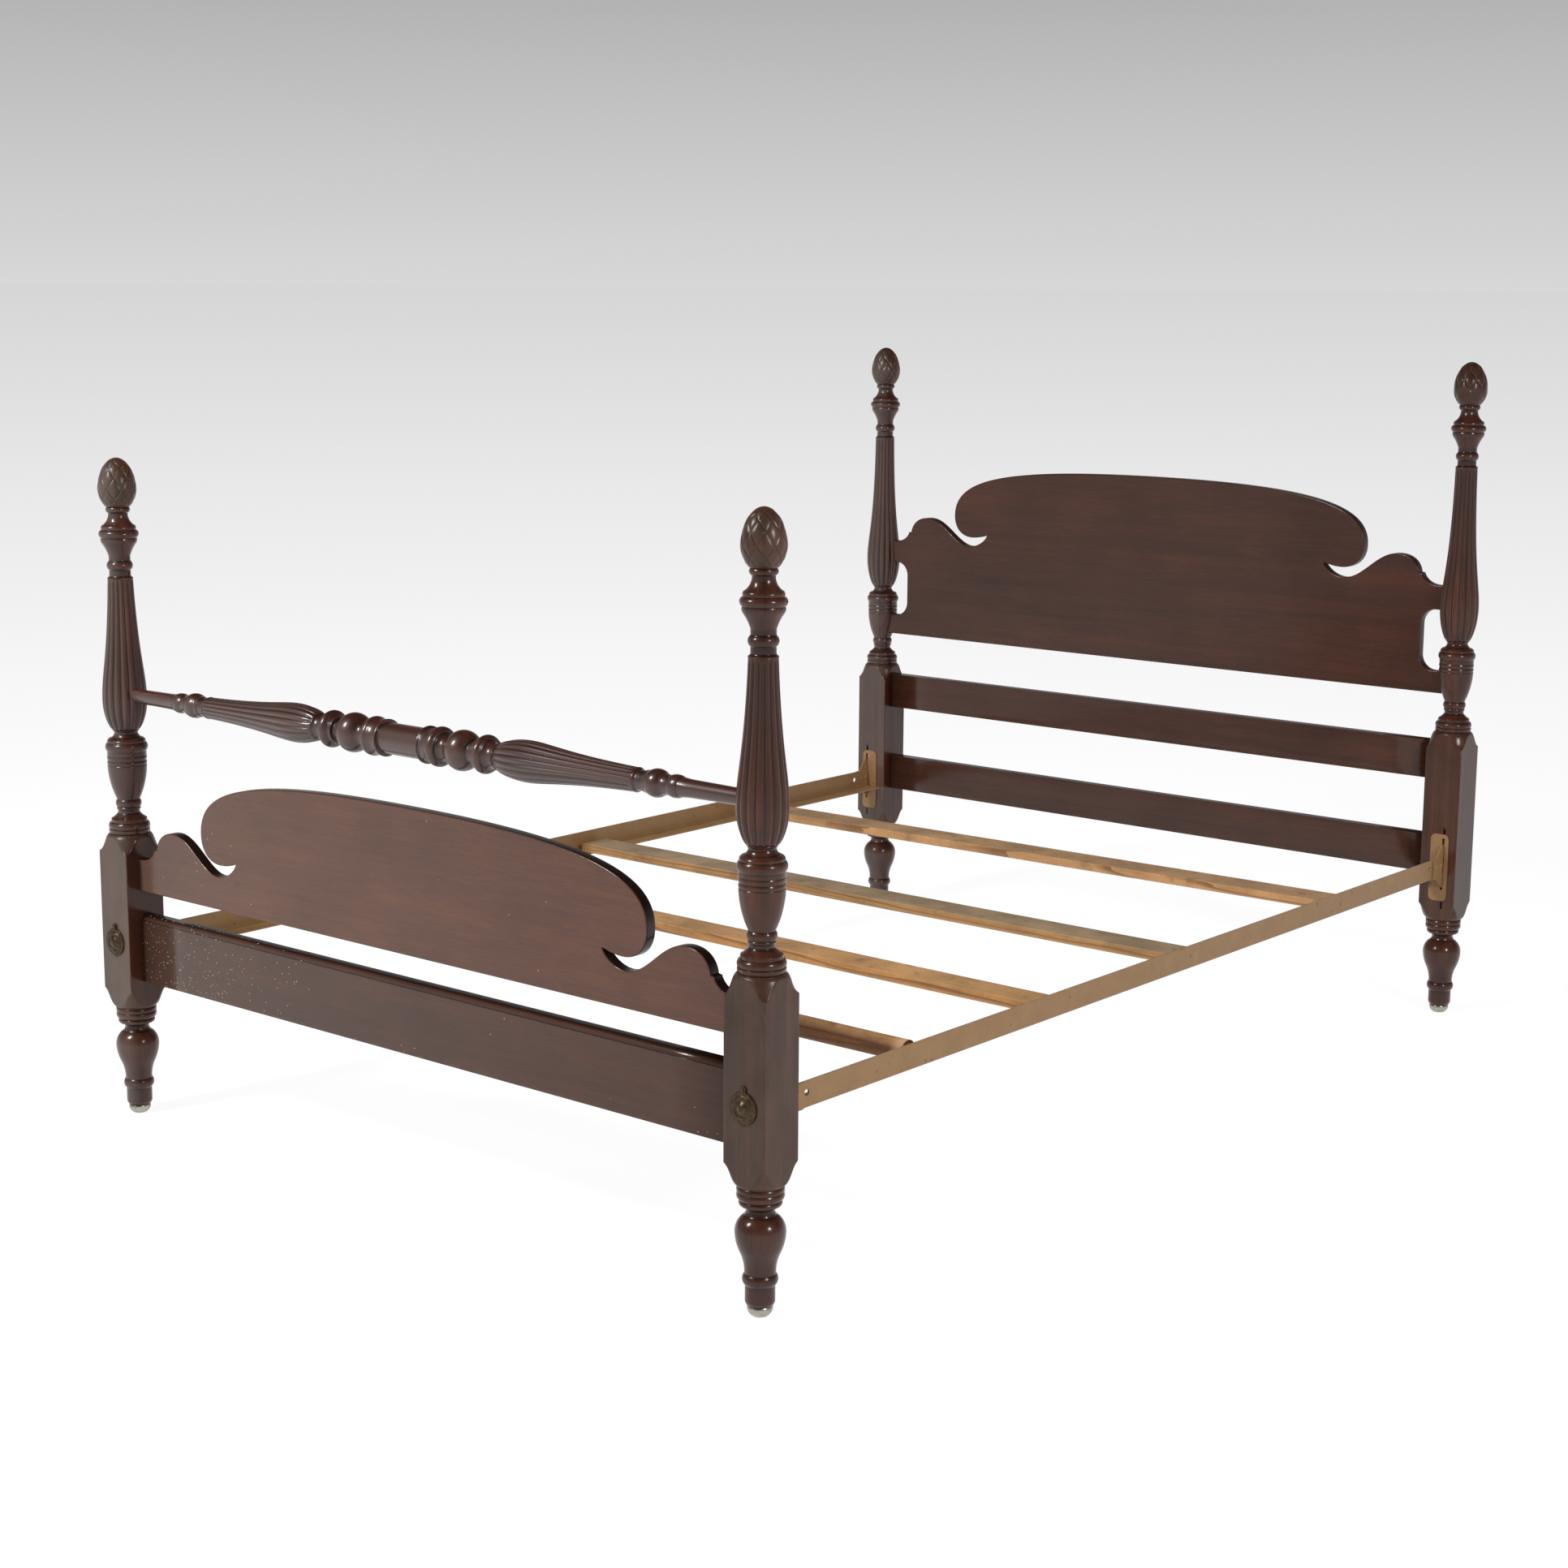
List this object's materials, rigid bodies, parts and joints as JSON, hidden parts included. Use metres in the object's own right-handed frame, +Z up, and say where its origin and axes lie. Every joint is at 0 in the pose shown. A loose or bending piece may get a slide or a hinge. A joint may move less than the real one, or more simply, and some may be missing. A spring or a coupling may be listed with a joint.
{
  "type": "four-poster bedstead",
  "caption": "Low four-poster double bedstead with reeded turned posts, acorn finials, scrolled boards, a turned blanket rail, steel hook-on side rails and loose slats.",
  "frame": {"origin": "centre of the bed on the floor, under the middle of its overall box", "axes": "+X to the right across the bed as seen from the foot, +Y from foot to head, +Z up"},
  "size_m": [1.4474, 2.1206, 1.248],
  "materials": {
    "turned_mahogany": "gloss lacquer over reddish-brown stain",
    "board_mahogany": "gloss lacquer with a hazy sheen",
    "enamelled_steel": "satin khaki enamel",
    "pin_steel": "dull zinc",
    "glide_nickel": "nickel plate",
    "antique_brass": "darkened stamped brass",
    "pine": "bare planed softwood",
    "pole_wood": "bare darkened wood",
    "dowel_birch": "bare wood"
  },
  "bodies": {
    "bedstead": {"foot_post_left": "turned_mahogany", "foot_post_right": "turned_mahogany", "head_post_left": "turned_mahogany", "head_post_right": "turned_mahogany", "foot_finial_left": "turned_mahogany", "foot_finial_right": "turned_mahogany", "head_finial_left": "turned_mahogany", "head_finial_right": "turned_mahogany", "finial_dowels": "dowel_birch", "foot_glide_left": "glide_nickel", "foot_glide_right": "glide_nickel", "head_glide_left": "glide_nickel", "head_glide_right": "glide_nickel", "foot_board": "board_mahogany", "foot_rail": "board_mahogany", "blanket_rail": "turned_mahogany", "head_board": "board_mahogany", "head_upper_rail": "board_mahogany", "head_lower_rail": "board_mahogany", "side_rail_left": "enamelled_steel", "side_rail_right": "enamelled_steel", "foot_hook_left": "enamelled_steel", "foot_hook_right": "enamelled_steel", "head_hook_left": "enamelled_steel", "head_hook_right": "enamelled_steel", "foot_slot_plate_left": "enamelled_steel", "foot_slot_plate_right": "enamelled_steel", "head_slot_plate_left": "enamelled_steel", "head_slot_plate_right": "enamelled_steel", "plate_screws": "enamelled_steel", "hook_rivets": "enamelled_steel", "hook_pins": "pin_steel", "cover_pin_left": "antique_brass", "cover_pin_right": "antique_brass"},
    "slat_head": {"slat_head": "pine"},
    "slat_upper_middle": {"slat_upper_middle": "pine"},
    "slat_lower_middle": {"slat_lower_middle": "pine"},
    "slat_pole": {"slat_pole": "pole_wood"},
    "bolt_cover_left": {"bolt_cover_left": "antique_brass"},
    "bolt_cover_right": {"bolt_cover_right": "antique_brass"}
  },
  "joints": [
    {"name": "slat_head_lift", "type": "slide", "parent": "bedstead", "child": "slat_head", "axis": [0, 0, 1], "range_m": [0, 0.08]},
    {"name": "slat_upper_middle_lift", "type": "slide", "parent": "bedstead", "child": "slat_upper_middle", "axis": [0, 0, 1], "range_m": [0, 0.08]},
    {"name": "slat_lower_middle_lift", "type": "slide", "parent": "bedstead", "child": "slat_lower_middle", "axis": [0, 0, 1], "range_m": [0, 0.08]},
    {"name": "slat_pole_lift", "type": "slide", "parent": "bedstead", "child": "slat_pole", "axis": [0, 0, 1], "range_m": [0, 0.08]},
    {"name": "bolt_cover_left_swing", "type": "hinge", "parent": "bedstead", "child": "bolt_cover_left", "pos_m": [-0.6875, -1.05325, 0.32675], "axis": [0, 1, 0], "continuous": true},
    {"name": "bolt_cover_right_swing", "type": "hinge", "parent": "bedstead", "child": "bolt_cover_right", "pos_m": [0.6875, -1.05325, 0.32675], "axis": [0, 1, 0], "continuous": true}
  ]
}
